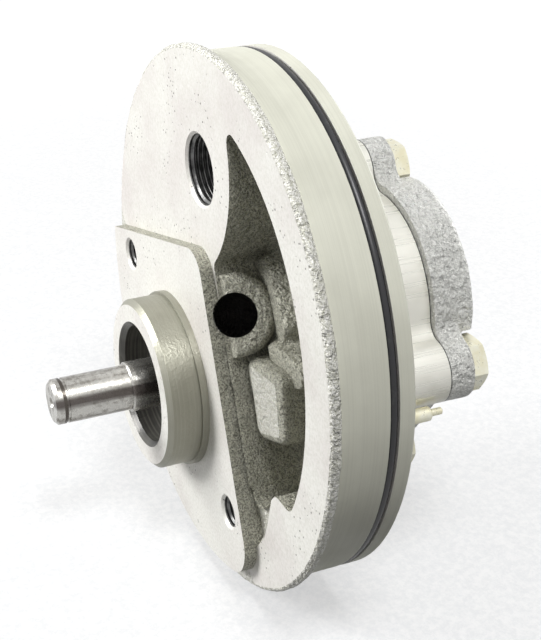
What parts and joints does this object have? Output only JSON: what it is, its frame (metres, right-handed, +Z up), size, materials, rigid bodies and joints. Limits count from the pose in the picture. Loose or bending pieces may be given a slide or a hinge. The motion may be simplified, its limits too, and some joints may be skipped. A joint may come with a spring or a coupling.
{
  "type": "water pump",
  "caption": "Gear pump on a round cast mounting disc with a pilot rim and ring seal, an off-centre keyed drive shaft in a seal boss, a front pocket with ports and a bolted rear cover.",
  "frame": {"origin": "centre of the pilot rim, in the plane where the rim meets the back of the lip", "axes": "+Y along the shafts from the drive end to the rear cover, +Z up, +X to the right seen from the drive end"},
  "size_m": [0.207, 0.1472, 0.207],
  "materials": {
    "cast_disc": "machined faces, rough cast pocket",
    "black_rubber": "matte",
    "seal_steel": "satin",
    "bush_bronze": "bored bronze",
    "gasket_sheet": "matte sheet",
    "machined_housing": "fine machined",
    "cast_cover": "coarse cast",
    "ground_steel": "ground and polished",
    "gear_steel": "ground",
    "zinc_bolts": "yellow zinc plating"
  },
  "bodies": {
    "root": {"body_gasket": "gasket_sheet", "cover_bolts": "zinc_bolts", "cover_gasket": "gasket_sheet", "dowel_pins": "ground_steel", "front_drive_bush": "bush_bronze", "front_idler_bush": "bush_bronze", "gear_housing": "machined_housing", "locating_pin": "zinc_bolts", "mounting_disc": "cast_disc", "rear_cover": "cast_cover", "rear_drive_bush": "bush_bronze", "rear_idler_bush": "bush_bronze", "rim_o_ring": "black_rubber", "seal_case": "seal_steel", "seal_lip": "black_rubber", "seal_spring": "seal_steel"},
    "drive": {"drive_shaft": "ground_steel", "drive_key": "ground_steel", "drive_gear": "gear_steel"},
    "idler": {"idler_shaft": "ground_steel", "idler_gear": "gear_steel"}
  },
  "joints": [
    {"name": "drive_spin", "type": "hinge", "parent": "root", "child": "drive", "pos_m": [-0.02409, 0, -0.0344], "axis": [0, 1, 0], "continuous": true},
    {"name": "idler_spin", "type": "hinge", "parent": "root", "child": "idler", "pos_m": [0, 0, 0], "axis": [0, 1, 0], "continuous": true}
  ],
  "couplings": [
    {"joint": "idler_spin", "follows": "drive_spin", "ratio": -1}
  ]
}
